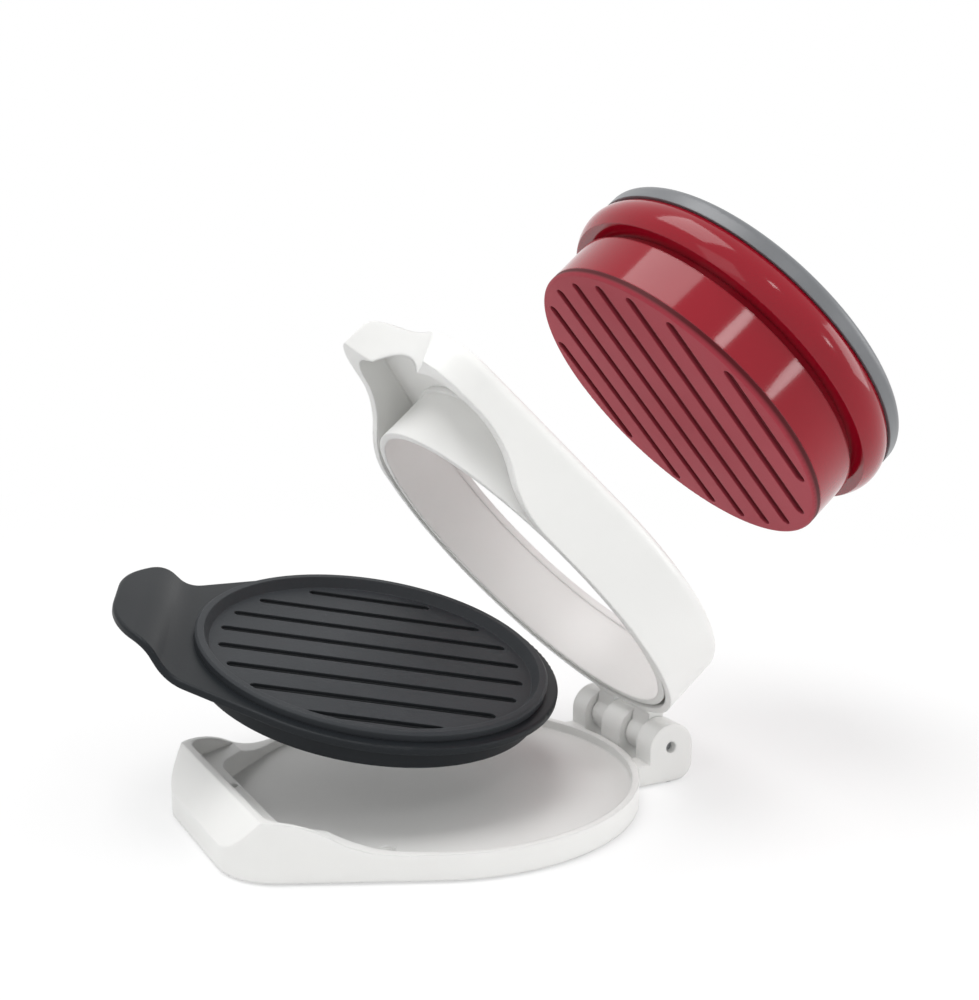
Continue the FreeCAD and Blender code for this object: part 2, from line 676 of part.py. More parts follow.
def make_tray():
    """Build the lifting tray: skirted ring with a broad handle that climbs over the nose."""
    body = new_body("lifting_tray")
    skirt = PLATE_BORE + " + @tray_wall"
    turn(body, [(PLATE_BORE, TRAY_BOTTOM), (skirt, TRAY_BOTTOM), (skirt, FLANGE_BOTTOM),
                ("@tray_radius", FLANGE_BOTTOM), ("@tray_radius", FLANGE_TOP), (PLATE_BORE, FLANGE_TOP)])

    strip = new_sketch(body, "XZ_Plane")
    top = [("-1 * @handle_root", FLANGE_TOP)]
    under = [("-1 * @handle_root", FLANGE_BOTTOM)]
    for x_text, z_text, lean in handle_path():
        top.append(("-1 * " + x_text, z_text))
        under.append(("-1 * (%s + @tray_flange * sin(%s))" % (x_text, lean),
                      "%s - @tray_flange * cos(%s)" % (z_text, lean)))
    bulges = {1: "-1 * @climb_radius", 3: "@crest_radius", 4: "-1 * @curl_radius",
              8: "@curl_radius + @tray_flange", 9: "-1 * (@crest_radius - @tray_flange)",
              11: "@climb_radius + @tray_flange"}
    add_outline(strip, top + under[::-1], bulges)
    pad(body, strip, "4 * @handle_half_width", midplane=True)

    trim = new_sketch(body, "XY_Plane", "2 * @lid_height")
    add_rectangle(trim, "-1 * " + FAR, FAR, "-1 * " + FAR, FAR)
    add_shield(trim, "@tray_radius", "@handle_corner", "@handle_reach - @handle_corner",
               "@handle_half_width - @handle_corner")
    pocket(body, trim, "4 * @lid_height")

    bore = new_sketch(body, "XY_Plane", FLANGE_TOP)
    add_circle(bore, "0", "0", PLATE_BORE)
    pocket(body, bore, "2 * @tray_flange")

    wings = new_sketch(body, "XY_Plane", FLANGE_BOTTOM)
    add_rectangle(wings, "@wing_end", FAR, "-1 * " + FAR, FAR)
    sharp = pocket(body, wings, "@tray_depth")
    solid, step = sharp.Shape, size("@tray_edge")

    def on_upper_outline(point):
        """Tell whether the tray lies only inwards of and below a point."""
        outwards = Vector(point.x, point.y, 0).normalize() * step
        upwards = Vector(0, 0, step)
        beyond = [point + outwards - upwards, point - outwards + upwards]
        filled = [solid.isInside(place, NEAR, True) for place in beyond]
        return solid.isInside(point - outwards - upwards, NEAR, True) and not any(filled)

    round_edges(body, sharp, on_upper_outline, "@tray_edge")
    return body


def make_plate():
    """Build the ridged patty plate that drops into the tray and rests on its flange."""
    body = new_body("patty_plate")
    spigot = "(@plate_radius - @plate_rim)"
    well = "(@plate_radius - @plate_rim - @plate_bead)"
    bottom = PLATE_FLOOR_TOP + " - @plate_floor"
    turn(body, [("0", bottom), (spigot, bottom), (spigot, FLANGE_TOP), ("@plate_radius", FLANGE_TOP),
                ("@plate_radius", PLATE_TOP + " - @plate_rim_chamfer"),
                ("@plate_radius - @plate_rim_chamfer", PLATE_TOP),
                (well + " + @plate_wall_slope", PLATE_TOP), (well, PLATE_FLOOR_TOP), ("0", PLATE_FLOOR_TOP)])
    grooves = new_sketch(body, "XY_Plane", PLATE_FLOOR_TOP)
    add_grooves(grooves, well + " - @plate_groove_margin", "@plate_groove_pitch", "@plate_groove_width")
    pocket(body, grooves, "@plate_groove_depth")
    return body


def make_press_face():
    """Build the ridged face plate of the press, with a spigot that fits into the barrel."""
    body = new_body("press_face")
    spigot = "(%s - @press_wall - @nest_gap)" % PRESS_RADIUS
    hollow = "(%s - 2 * @press_wall)" % PRESS_RADIUS
    lip = FACE_TOP + " + @face_spigot"
    turn(body, [("0", FACE_BOTTOM), (PRESS_RADIUS + " - @face_round", FACE_BOTTOM),
                (PRESS_RADIUS, FACE_BOTTOM + " + @face_round"), (PRESS_RADIUS, FACE_TOP),
                (spigot, FACE_TOP), (spigot, lip), (hollow, lip), (hollow, FACE_TOP), ("0", FACE_TOP)],
         {1: "@face_round"})
    grooves = new_sketch(body, "XY_Plane", FACE_BOTTOM)
    add_grooves(grooves, PRESS_RADIUS + " - @press_groove_margin", "@press_groove_pitch",
                "@press_groove_width")
    pocket(body, grooves, "@press_groove_depth", upward=True)
    return body


def screw_places():
    """List the named places of the screws that hold the cap."""
    places = []
    for index in range(SCREWS):
        angle = FIRST_SCREW_ANGLE + 360.0 / SCREWS * index
        places.append(("@post_circle * cos(%gdeg)" % angle, "@post_circle * sin(%gdeg)" % angle))
    return places


def make_press_barrel():
    """Build the red barrel: plain cylinder, floor with screw holes and a stepped neck."""
    body = new_body("press_barrel")
    inner = "(%s - @press_wall)" % PRESS_RADIUS
    neck = "(%s - @neck_depth)" % PRESS_RADIUS
    spigot = "(%s - @neck_depth - @press_wall)" % PRESS_RADIUS
    throat = "(%s - @neck_depth - 2 * @press_wall)" % PRESS_RADIUS
    floor = NECK_BOTTOM + " - @press_floor"
    rise = COLLAR_BOTTOM + " + @neck_rise"
    turn(body, [("0", floor), (inner, floor), (inner, FACE_TOP), (PRESS_RADIUS, FACE_TOP),
                (PRESS_RADIUS, NECK_BOTTOM), (neck, NECK_BOTTOM), (neck, COLLAR_BOTTOM),
                (spigot, COLLAR_BOTTOM), (spigot, rise), (throat, rise), (throat, NECK_BOTTOM),
                ("0", NECK_BOTTOM)])
    holes = new_sketch(body, "XY_Plane", NECK_BOTTOM)
    for x_text, y_text in screw_places():
        add_circle(holes, x_text, y_text, "@screw_radius + @nest_gap")
    pocket(body, holes, "2 * @press_floor")
    return body


def make_collar():
    """Build the convex red collar that sits on the barrel's neck and stops on the lid."""
    body = new_body("press_collar")
    bore = "(%s - @neck_depth - @press_wall + @nest_gap)" % PRESS_RADIUS
    edge = "(@collar_radius - @collar_bulge)"
    inside = "(@collar_radius - @collar_bulge - @collar_wall)"
    half = "(@collar_height / 2)"
    bulge = "((%s^2 + @collar_bulge^2) / (2 * @collar_bulge))" % half
    turn(body, [(bore, COLLAR_BOTTOM), (edge, COLLAR_BOTTOM), (edge, COLLAR_TOP), (inside, COLLAR_TOP),
                (inside, COLLAR_BOTTOM + " + @collar_wall"), (bore, COLLAR_BOTTOM + " + @collar_wall")],
         {1: bulge})
    return body


def make_cap():
    """Build the grey cap: rimmed dished top with posts that the screws bite into."""
    body = new_body("press_cap")
    spigot = "(@collar_radius - @collar_bulge - @collar_wall - @nest_gap)"
    hollow = "(@collar_radius - @collar_bulge - 2 * @collar_wall)"
    ceiling = CAP_TOP + " - @cap_dish - @cap_roof"
    foot = COLLAR_TOP + " - @cap_spigot"
    rim = "(@cap_radius - 2 * @cap_round)"
    turn(body, [("0", ceiling), (hollow, ceiling), (hollow, foot), (spigot, foot), (spigot, COLLAR_TOP),
                ("@cap_radius", COLLAR_TOP), ("@cap_radius", CAP_TOP + " - @cap_round"),
                ("@cap_radius - @cap_round", CAP_TOP), (rim, CAP_TOP),
                ("@cap_dish_radius", CAP_TOP + " - @cap_dish"), ("0", CAP_TOP + " - @cap_dish")],
         {6: "@cap_round"})
    posts = new_sketch(body, "XY_Plane", NECK_BOTTOM)
    holes = new_sketch(body, "XY_Plane", NECK_BOTTOM)
    for x_text, y_text in screw_places():
        add_circle(posts, x_text, y_text, "@post_radius")
        add_circle(holes, x_text, y_text, "@screw_radius + @pin_fit")
    pad(body, posts, ceiling + " - " + NECK_BOTTOM)
    pocket(body, holes, "@screw_grip + @nest_gap", upward=True)
    return body


def make_screws():
    """Build the screws that draw the cap onto the barrel, hidden above the face plate."""
    screws = []
    under_head = NECK_BOTTOM + " - @press_floor"
    for index, (x_text, y_text) in enumerate(screw_places(), start=1):
        shank = doc.addObject("Part::Cylinder", "screw_shank_%d" % index)
        head = doc.addObject("Part::Cylinder", "screw_head_%d" % index)
        bind(shank, "Radius", "@screw_radius")
        bind(shank, "Height", "@screw_grip + @press_floor")
        bind(head, "Radius", "@screw_head_radius")
        bind(head, "Height", "@screw_head")
        for piece, level in ((shank, under_head), (head, under_head + " - @screw_head")):
            bind(piece, "Placement.Base.x", x_text)
            bind(piece, "Placement.Base.y", y_text)
            bind(piece, "Placement.Base.z", level)
        screw = doc.addObject("Part::Fuse", "screw_%d" % index)
        screw.Base = shank
        screw.Tool = head
        screws.append(screw)
    group = doc.addObject("Part::Compound", "cap_screws")
    group.Label = "cap_screws"
    group.Links = screws
    doc.recompute()
    return group


def turned_about(axis, angle, centre):
    """Return the placement that turns a piece about an axis through a point."""
    return FreeCAD.Placement(Vector(0, 0, 0), FreeCAD.Rotation(axis, angle), centre)


base_pieces = [make_base(), make_hinge_pin()] + make_feet()
lid_pieces = [make_lid(), make_mould_ring()]
tray_pieces = [make_tray(), make_plate()]
press_pieces = [make_press_face(), make_press_barrel(), make_collar(), make_cap(), make_screws()]

opened = turned_about(Vector(0, 1, 0), size("@lid_open"), Vector(size("@hinge_x"), 0, size("@hinge_height")))
lifted = FreeCAD.Placement(Vector(0, 0, size("@press_lift")), FreeCAD.Rotation())
axis_plan, axis_rise = [math.radians(size(text)) for text in ("@tray_axis_plan", "@tray_axis_rise")]
tray_axis = Vector(math.cos(axis_plan) * math.cos(axis_rise), math.sin(axis_plan) * math.cos(axis_rise),
                   math.sin(axis_rise))
tray_pivot = Vector(size("@tray_axis_x"), 0, size("@tray_axis_height"))
tilted = opened * turned_about(tray_axis, size("@tray_turn"), tray_pivot)

for piece in lid_pieces:
    piece.Placement = opened
for piece in tray_pieces:
    piece.Placement = tilted
for piece in press_pieces:
    piece.Placement = opened * lifted
doc.recompute()

for thing in doc.Objects:
    if "Invalid" in thing.State or "Error" in thing.State:
        raise RuntimeError("%s failed: %s" % (thing.Label, thing.State))
pieces = base_pieces + lid_pieces + tray_pieces + press_pieces
for piece in pieces:
    if piece.Shape.isNull() or not piece.Shape.isValid() or not piece.Shape.Solids:
        raise RuntimeError("%s has no valid solid" % piece.Label)

os.makedirs("parts", exist_ok=True)
for piece in pieces:
    piece.Shape.exportStep("parts/%s.step" % piece.Label)
    print("%-14s %2d solid(s) %9.1f mm3" % (piece.Label, len(piece.Shape.Solids), piece.Shape.Volume))
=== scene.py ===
"""Dress a hamburger press: white base and lid, dark lifting tray and red hand press.

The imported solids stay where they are. This script gives each one the finish of its plastic,
rubber or steel, and sets floor, lights and camera.
"""
from __future__ import annotations

import json
import logging
from dataclasses import dataclass, field, replace
from enum import Enum

import bpy
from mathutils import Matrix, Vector

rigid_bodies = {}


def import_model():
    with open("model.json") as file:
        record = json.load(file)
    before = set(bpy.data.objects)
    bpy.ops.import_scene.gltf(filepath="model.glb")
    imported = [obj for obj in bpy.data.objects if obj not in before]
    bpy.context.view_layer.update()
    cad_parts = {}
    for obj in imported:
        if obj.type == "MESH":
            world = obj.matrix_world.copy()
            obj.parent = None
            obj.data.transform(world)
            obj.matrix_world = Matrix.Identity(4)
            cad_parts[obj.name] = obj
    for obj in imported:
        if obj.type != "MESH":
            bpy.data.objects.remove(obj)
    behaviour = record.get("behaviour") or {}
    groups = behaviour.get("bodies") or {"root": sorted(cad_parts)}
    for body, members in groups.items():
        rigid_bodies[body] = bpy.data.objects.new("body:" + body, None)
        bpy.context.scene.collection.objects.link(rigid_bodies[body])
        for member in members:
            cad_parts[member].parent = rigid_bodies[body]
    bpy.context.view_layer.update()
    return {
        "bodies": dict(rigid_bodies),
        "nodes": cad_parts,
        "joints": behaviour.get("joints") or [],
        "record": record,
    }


LOG = logging.getLogger("hamburger_press")
MILLIMETRE = 0.001
WHITE = (1.0, 1.0, 1.0, 1.0)
# Numbers of a Mix node's colour sockets, whose names its other kinds share
MIX_FIRST, MIX_SECOND, MIX_RESULT = 6, 7, 2


def linear(code: str) -> tuple[float, float, float, float]:
    """Turn an sRGB hex colour to the linear values that shaders use.

    Args:
        code: Six hex digits after a hash sign.

    Returns:
        Red, green, blue and an alpha of one.
    """
    channels = []
    # The sRGB standard's curve, with a straight piece near black
    for start in (1, 3, 5):
        value = int(code[start:start + 2], 16) / 255.0
        channels.append(value / 12.92 if value <= 0.04045 else ((value + 0.055) / 1.055) ** 2.4)
    return (*channels, 1.0)


def add_node(tree: bpy.types.NodeTree, kind: str, settings: dict | None = None,
             links: dict | None = None) -> bpy.types.Node:
    """Add a node with its settings and links.

    Args:
        tree: The node tree of a material or of the world.
        kind: The node's type name.
        settings: Values by input name or number, or by the node's own property name.
        links: Output sockets by the name or number of the input that they feed.

    Returns:
        The new node.
    """
    node = tree.nodes.new(kind)
    for key, value in (settings or {}).items():
        if isinstance(key, str) and hasattr(node, key):
            setattr(node, key, value)
        else:
            node.inputs[key].default_value = value
    for key, socket in (links or {}).items():
        tree.links.new(socket, node.inputs[key])
    return node


class CavityFinish(Enum):
    """How the cavity of the mould was finished, which the plastic copies."""

    POLISHED = "polished"
    SATIN = "satin"
    SPARKED = "sparked"


@dataclass(frozen=True)
class Grain:
    """What a cavity finish leaves on the plastic.

    Args:
        roughness: Middle roughness of the surface.
        spread: How far the roughness wanders to each side.
        pitch_mm: Size of one bump.
        relief_mm: Height of one bump.
    """

    roughness: float
    spread: float
    pitch_mm: float
    relief_mm: float


# Rays that find a rounded edge at each point
EDGE_SAMPLES = 4
# Cosine of the turn at which an edge starts to look worn, and at which it is fully worn
WEAR_STARTS, WEAR_ENDS = 0.99, 0.75
# The skin that a polished cavity leaves is nearly a mirror
SKIN_ROUGHNESS = 0.05
# Inside a white plastic, light of each colour spreads equally far
EVEN_SPREAD = (1.0, 1.0, 1.0)
# Octaves of the noise for flow clouds, cavity pits and drawing marks
CLOUD_DETAIL, PIT_DETAIL, MARK_DETAIL = 3.0, 2.0, 4.0
# Decimals that gather equal normals, and equal levels in metres
NORMAL_DECIMALS, LEVEL_DECIMALS = 3, 5

# Spark erosion leaves pits of about 0.1 mm; they are drawn coarser here, to show at all
GRAINS = {
    CavityFinish.POLISHED: Grain(0.12, 0.04, 16.0, 0.030),
    CavityFinish.SATIN: Grain(0.36, 0.06, 1.4, 0.012),
    CavityFinish.SPARKED: Grain(0.55, 0.07, 0.9, 0.040),
}


@dataclass(frozen=True)
class Recess:
    """Painted shade on the floors of the grooves of a ridged face, darker with depth.

    Args:
        colour: Colour of the painted shade at the groove's floor.
        outward: Unit vector out of the face.
        level_m: Place of the face's plane along that vector.
        depth_mm: Depth of the grooves.
    """

    colour: str
    outward: Vector
    level_m: float
    depth_mm: float


@dataclass(frozen=True)
class MouldedPlastic:
    """An injection-moulded plastic: one colour with faint flow clouds and the cavity's grain.

    Args:
        name: The plastic and how it was moulded.
        colour: Main colour.
        cloud: Colour of the flow clouds.
        worn: Colour of edges rubbed by handling.
        finish: Finish of the cavity.
        edge_mm: Radius that the mould leaves on sharp edges.
        cloud_mm: Size of one flow cloud.
        shine: Specular level, one half for a clean plain plastic.
        milk: Share of light that spreads inside the plastic.
        milk_mm: How far it spreads.
        coat: Weight of the skin's extra gloss.
        ior: Index of refraction.
        recess: Painted shade in the grooves, if the face is ridged.
    """

    name: str
    colour: str
    cloud: str
    worn: str
    finish: CavityFinish
    edge_mm: float = 0.8
    cloud_mm: float = 45.0
    shine: float = 0.5
    milk: float = 0.0
    milk_mm: float = 0.0
    coat: float = 0.0
    ior: float = 1.5
    recess: Recess | None = None

    def make(self) -> bpy.types.Material:
        """Build the material.

        Returns:
            The new material.
        """
        grain = GRAINS[self.finish]
        material = bpy.data.materials.new(self.name)
        material.use_nodes = True
        tree = material.node_tree
        shader = tree.nodes["Principled BSDF"]
        place = add_node(tree, "ShaderNodeTexCoord").outputs["Object"]
        clouds = add_node(tree, "ShaderNodeTexNoise",
                          {"Scale": 1.0 / (self.cloud_mm * MILLIMETRE), "Detail": CLOUD_DETAIL},
                          {"Vector": place})
        tone = add_node(tree, "ShaderNodeMix",
                        {"data_type": "RGBA", MIX_FIRST: linear(self.colour),
                         MIX_SECOND: linear(self.cloud)},
                        {"Factor": clouds.outputs["Fac"]}).outputs[MIX_RESULT]
        # Painted shade: the colour darkens with depth below the ridged face
        if self.recess is not None:
            tone = self.paint_shade_in_grooves(tree, place, tone)
        edge = add_node(tree, "ShaderNodeBevel",
                        {"samples": EDGE_SAMPLES, "Radius": self.edge_mm * MILLIMETRE})
        tone = self.wear_edges(tree, edge.outputs["Normal"], clouds.outputs["Fac"], tone)
        tree.links.new(tone, shader.inputs["Base Color"])
        pits = add_node(tree, "ShaderNodeTexNoise",
                        {"Scale": 1.0 / (grain.pitch_mm * MILLIMETRE), "Detail": PIT_DETAIL},
                        {"Vector": place})
        wander = add_node(tree, "ShaderNodeMapRange",
                          {"To Min": grain.roughness - grain.spread,
                           "To Max": grain.roughness + grain.spread},
                          {"Value": clouds.outputs["Fac"]})
        tree.links.new(wander.outputs["Result"], shader.inputs["Roughness"])
        relief = add_node(tree, "ShaderNodeBump", {"Distance": grain.relief_mm * MILLIMETRE},
                          {"Height": pits.outputs["Fac"], "Normal": edge.outputs["Normal"]})
        tree.links.new(relief.outputs["Normal"], shader.inputs["Normal"])
        shader.inputs["IOR"].default_value = self.ior
        shader.inputs["Specular IOR Level"].default_value = self.shine
        shader.inputs["Coat Weight"].default_value = self.coat
        shader.inputs["Coat Roughness"].default_value = SKIN_ROUGHNESS
        shader.inputs["Subsurface Weight"].default_value = self.milk
        shader.inputs["Subsurface Radius"].default_value = EVEN_SPREAD
        shader.inputs["Subsurface Scale"].default_value = self.milk_mm * MILLIMETRE
        return material

    def wear_edges(self, tree: bpy.types.NodeTree, rounded: bpy.types.NodeSocket,
                   clouds: bpy.types.NodeSocket,
                   tone: bpy.types.NodeSocket) -> bpy.types.NodeSocket:
        """Show handling along the edges, unevenly.

        Args:
            tree: The material's node tree.
            rounded: Normal of the rounded edge.
            clouds: Slow noise that breaks up the wear.
            tone: The plastic's own colour.

        Returns:
            The colour with worn edges.
        """
        surface = add_node(tree, "ShaderNodeNewGeometry").outputs["Normal"]
        bend = add_node(tree, "ShaderNodeVectorMath", {"operation": "DOT_PRODUCT"},
                        {0: rounded, 1: surface})
        edge = add_node(tree, "ShaderNodeMapRange",
                        {"From Min": WEAR_ENDS, "From Max": WEAR_STARTS,
                         "To Min": 1.0, "To Max": 0.0},
                        {"Value": bend.outputs["Value"]})
        share = add_node(tree, "ShaderNodeMath", {"operation": "MULTIPLY"},
                         {0: edge.outputs["Result"], 1: clouds})
        return add_node(tree, "ShaderNodeMix",
                        {"data_type": "RGBA", MIX_SECOND: linear(self.worn)},
                        {"Factor": share.outputs[0], MIX_FIRST: tone}).outputs[MIX_RESULT]

    def paint_shade_in_grooves(self, tree: bpy.types.NodeTree, place: bpy.types.NodeSocket,
                     tone: bpy.types.NodeSocket) -> bpy.types.NodeSocket:
        """Paint shade on what lies below the ridged face, darker with depth.

        Args:
            tree: The material's node tree.
            place: Object coordinates, which move with the piece.
            tone: The plastic's own colour.

        Returns:
            The colour with painted shade in the grooves.
        """
        recess = self.recess
        height = add_node(tree, "ShaderNodeVectorMath",
                          {"operation": "DOT_PRODUCT", 1: recess.outward},
                          {0: place}).outputs["Value"]
        floor = recess.level_m - recess.depth_mm * MILLIMETRE
        # Painted shade grows from none at the face to full at the groove floor
        share = add_node(tree, "ShaderNodeMapRange",
                         {"From Min": floor, "From Max": recess.level_m,
                          "To Min": 1.0, "To Max": 0.0},
                         {"Value": height})
        return add_node(tree, "ShaderNodeMix",
                        {"data_type": "RGBA", MIX_SECOND: linear(recess.colour)},
                        {"Factor": share.outputs["Result"], MIX_FIRST: tone}).outputs[MIX_RESULT]


@dataclass(frozen=True)
class DrawnSteel:
    """Plain drawn steel rod: grey metal with fine marks along the rod.

    Args:
        name: The metal and how it was made.
        colour: Reflected colour.
        dull: Colour in the drawing marks.
        roughness: Middle roughness.
        spread: Share by which the roughness wanders to each side.
        mark_mm: Spacing of the drawing marks.
        along: Scale of the marks by axis, small along the rod.
    """

    name: str = "drawn_steel"
    colour: str = "#B9BBBE"
    dull: str = "#A4A6A9"
    roughness: float = 0.28
    spread: float = 0.3
    mark_mm: float = 0.5
    along: tuple[float, float, float] = (1.0, 0.04, 1.0)

    def make(self) -> bpy.types.Material:
        """Build the material.

        Returns:
            The new material.
        """
        material = bpy.data.materials.new(self.name)
        material.use_nodes = True
        tree = material.node_tree
        shader = tree.nodes["Principled BSDF"]
        place = add_node(tree, "ShaderNodeTexCoord").outputs["Object"]
        stretched = add_node(tree, "ShaderNodeMapping", {"Scale": self.along}, {"Vector": place})
        marks = add_node(tree, "ShaderNodeTexNoise",
                         {"Scale": 1.0 / (self.mark_mm * MILLIMETRE), "Detail": MARK_DETAIL},
                         {"Vector": stretched.outputs["Vector"]})
        wander = add_node(tree, "ShaderNodeMapRange",
                          {"To Min": self.roughness * (1.0 - self.spread),
                           "To Max": self.roughness * (1.0 + self.spread)},
                          {"Value": marks.outputs["Fac"]})
        tree.links.new(wander.outputs["Result"], shader.inputs["Roughness"])
        tone = add_node(tree, "ShaderNodeMix",
                        {"data_type": "RGBA", MIX_FIRST: linear(self.colour),
                         MIX_SECOND: linear(self.dull)},
                        {"Factor": marks.outputs["Fac"]})
        tree.links.new(tone.outputs[MIX_RESULT], shader.inputs["Base Color"])
        shader.inputs["Metallic"].default_value = 1.0
        return material


# Natural white polypropylene from a satin cavity: a soft, even sheen, and milky where it is thin
WHITE_SHELL = MouldedPlastic("white_polypropylene_moulded_satin", "#ECECEA", "#E4E4E2", "#F4F4F2",
                             CavityFinish.SATIN, edge_mm=1.0, milk=0.3, milk_mm=3.0, ior=1.49)
# Dark filled nylon from a satin cavity: nearly black, with a broad dim sheen along its bends
DARK_TRAY = MouldedPlastic("dark_nylon_moulded_satin", "#222528", "#1C1F22", "#3C3F42",
                           CavityFinish.SATIN, shine=0.12, ior=1.53)
# The same nylon from a spark-eroded cavity: dry and grainy, so that food lets go of it
DARK_RIDGES = MouldedPlastic("dark_nylon_moulded_sparked", "#2D3034", "#282B2E", "#4A4D50",
                             CavityFinish.SPARKED, edge_mm=0.6, shine=0.25, ior=1.53)
# Red styrene plastic from a polished cavity: deep colour under a skin that mirrors the lamps
RED_DRUM = MouldedPlastic("red_abs_moulded_polished", "#960A20", "#86071A", "#B23444",
                          CavityFinish.POLISHED, shine=0.2, coat=0.2, ior=1.54)
# Red nylon from a spark-eroded cavity: the red is its own, and its paleness beside the drum is a
# painted sheen for the light that its grain scatters
RED_RIDGES = MouldedPlastic("red_nylon_moulded_sparked", "#B0424F", "#A63A46", "#BE5A66",
                            CavityFinish.SPARKED, edge_mm=0.6, shine=0.15, ior=1.53)
# Grey styrene plastic from a satin cavity: a plain grip with a soft sheen
GREY_CAP = MouldedPlastic("grey_abs_moulded_satin", "#707275", "#66686B", "#8C8E90",
                          CavityFinish.SATIN, ior=1.54)
# Moulded rubber: dull, and paler where it has rubbed on a worktop
GREY_FOOT = MouldedPlastic("grey_rubber_moulded_sparked", "#4C4D4F", "#444547", "#5C5D5F",
                           CavityFinish.SPARKED, shine=0.3, ior=1.52)
# Drawn steel: a grey metal whose fine marks stretch the highlights across the rod
PIN_STEEL = DrawnSteel()


def flat_direction(piece: bpy.types.Object) -> Vector:
    """Find the direction that most of a piece's flat area faces.

    Args:
        piece: A mesh with a broad flat side.

    Returns:
        The unit normal that gathers the largest area.
    """
    areas: dict[tuple[float, ...], float] = {}
    for polygon in piece.data.polygons:
        key = tuple(round(value, NORMAL_DECIMALS) for value in polygon.normal)
        areas[key] = areas.get(key, 0.0) + polygon.area
    return Vector(max(areas, key=areas.get)).normalized()


def furthest(piece: bpy.types.Object, outward: Vector) -> float:
    """Return how far a piece reaches along a direction, in metres."""
    return max(outward.dot(vertex.co) for vertex in piece.data.vertices)


@dataclass
class Assembly:
    """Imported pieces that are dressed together.

    Args:
        frame: The loaded frame.
    """

    frame: dict

    def node(self, name: str) -> bpy.types.Object:
        """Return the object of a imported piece."""
        return self.frame["nodes"][name]

    def dress(self, name: str, material: bpy.types.Material) -> None:
        """Give a piece its finish.

        Args:
            name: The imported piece.
            material: Its finish.
        """
        piece = self.node(name)
        piece.data.materials.clear()
        piece.data.materials.append(material)
        LOG.info("%s wears %s", name, material.name)


@dataclass
class Base(Assembly):
    """White base with its hinge pin and rubber feet.

    Args:
        feet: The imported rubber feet.
    """

    feet: tuple[str, ...] = ("foot_centre", "foot_front_left", "foot_front_right", "foot_rear_left",
                             "foot_rear_right")

    def build(self, white: bpy.types.Material, rubber: bpy.types.Material,
              steel: bpy.types.Material) -> None:
        """Dress the base.

        Args:
            white: Plastic of the shells.
            rubber: Rubber of the feet.
            steel: Steel of the pin.
        """
        self.dress("base_shell", white)
        self.dress("hinge_pin", steel)
        for foot in self.feet:
            self.dress(foot, rubber)


@dataclass
class Lid(Assembly):
    """White lid with its mould ring."""

    def build(self, white: bpy.types.Material) -> None:
        """Dress the lid.

        Args:
            white: Plastic of the shells.
        """
        self.dress("lid_shell", white)
        self.dress("mould_ring", white)


@dataclass
class Tray(Assembly):
    """Dark lifting tray with its ridged plate.

    Args:
        groove_mm: Depth of the plate's grooves.
        painted_groove_shade: Colour of the painted shade at their floors.
        facing: Least cosine between two normals that face the same way.
    """

    groove_mm: float = 1.3
    # Painted shade at the bottom of the plate's grooves
    painted_groove_shade: str = "#121416"
    facing: float = 0.999

    def build(self) -> None:
        """Dress the tray and its plate."""
        self.dress("lifting_tray", DARK_TRAY.make())
        plate = self.node("patty_plate")
        up = flat_direction(plate)
        up = up if up.z > 0.0 else -up
        # Paint shade into the plate's grooves
        grooves = Recess(self.painted_groove_shade, up, self.ridge_level(plate, up), self.groove_mm)
        self.dress("patty_plate", replace(DARK_RIDGES, recess=grooves).make())

    def ridge_level(self, plate: bpy.types.Object, up: Vector) -> float:
        """Find the plane of the plate's ridges.

        Args:
            plate: The plate's mesh.
            up: The plate's upward normal.

        Returns:
            The level with the largest upward area, in metres along the normal.
        """
        levels: dict[float, float] = {}
        for polygon in plate.data.polygons:
            if polygon.normal.dot(up) > self.facing:
                level = round(up.dot(polygon.center), LEVEL_DECIMALS)
                levels[level] = levels.get(level, 0.0) + polygon.area
        return max(levels, key=levels.get)


@dataclass
class Press(Assembly):
    """Red press: ridged face, drum, collar and grey cap.

    Args:
        groove_mm: Depth of the face's grooves.
        painted_groove_shade: Colour of the painted shade at their floors.
    """

    groove_mm: float = 1.7
    # Painted shade at the bottom of the face's grooves
    painted_groove_shade: str = "#4A040D"

    def build(self, steel: bpy.types.Material) -> None:
        """Dress the press.

        Args:
            steel: Steel of the screws.
        """
        red = RED_DRUM.make()
        self.dress("press_barrel", red)
        self.dress("press_collar", red)
        face = self.node("press_face")
        down = -Vector(self.slide_axis())
        # Paint shade into the press face's grooves
        grooves = Recess(self.painted_groove_shade, down, furthest(face, down), self.groove_mm)
        self.dress("press_face", replace(RED_RIDGES, recess=grooves).make())
        self.dress("press_cap", GREY_CAP.make())
        self.dress("cap_screws", steel)

    def slide_axis(self) -> tuple[float, float, float]:
        """Return the direction in which the press is drawn out."""
        joints = self.frame["joints"]
        return next(tuple(joint["axis"]) for joint in joints if joint["name"] == "press_slide")


@dataclass(frozen=True)
class SoftBox:
    """A square studio lamp.

    Args:
        name: Its name.
        place: Where it stands, in metres.
        side: Length of its side, in metres.
        power: Power in watts.
    """

    name: str
    place: tuple[float, float, float]
    side: float
    power: float

    def make(self, aim: Vector) -> None:
        """Set up the lamp.

        Args:
            aim: The point that it faces.
        """
        lamp = bpy.data.lights.new(self.name, "AREA")
        lamp.size = self.side
        lamp.energy = self.power
        holder = bpy.data.objects.new(self.name, lamp)
        holder.location = self.place
        sight = aim - holder.location
        holder.rotation_euler = sight.to_track_quat("-Z", "Y").to_euler()
        bpy.context.collection.objects.link(holder)


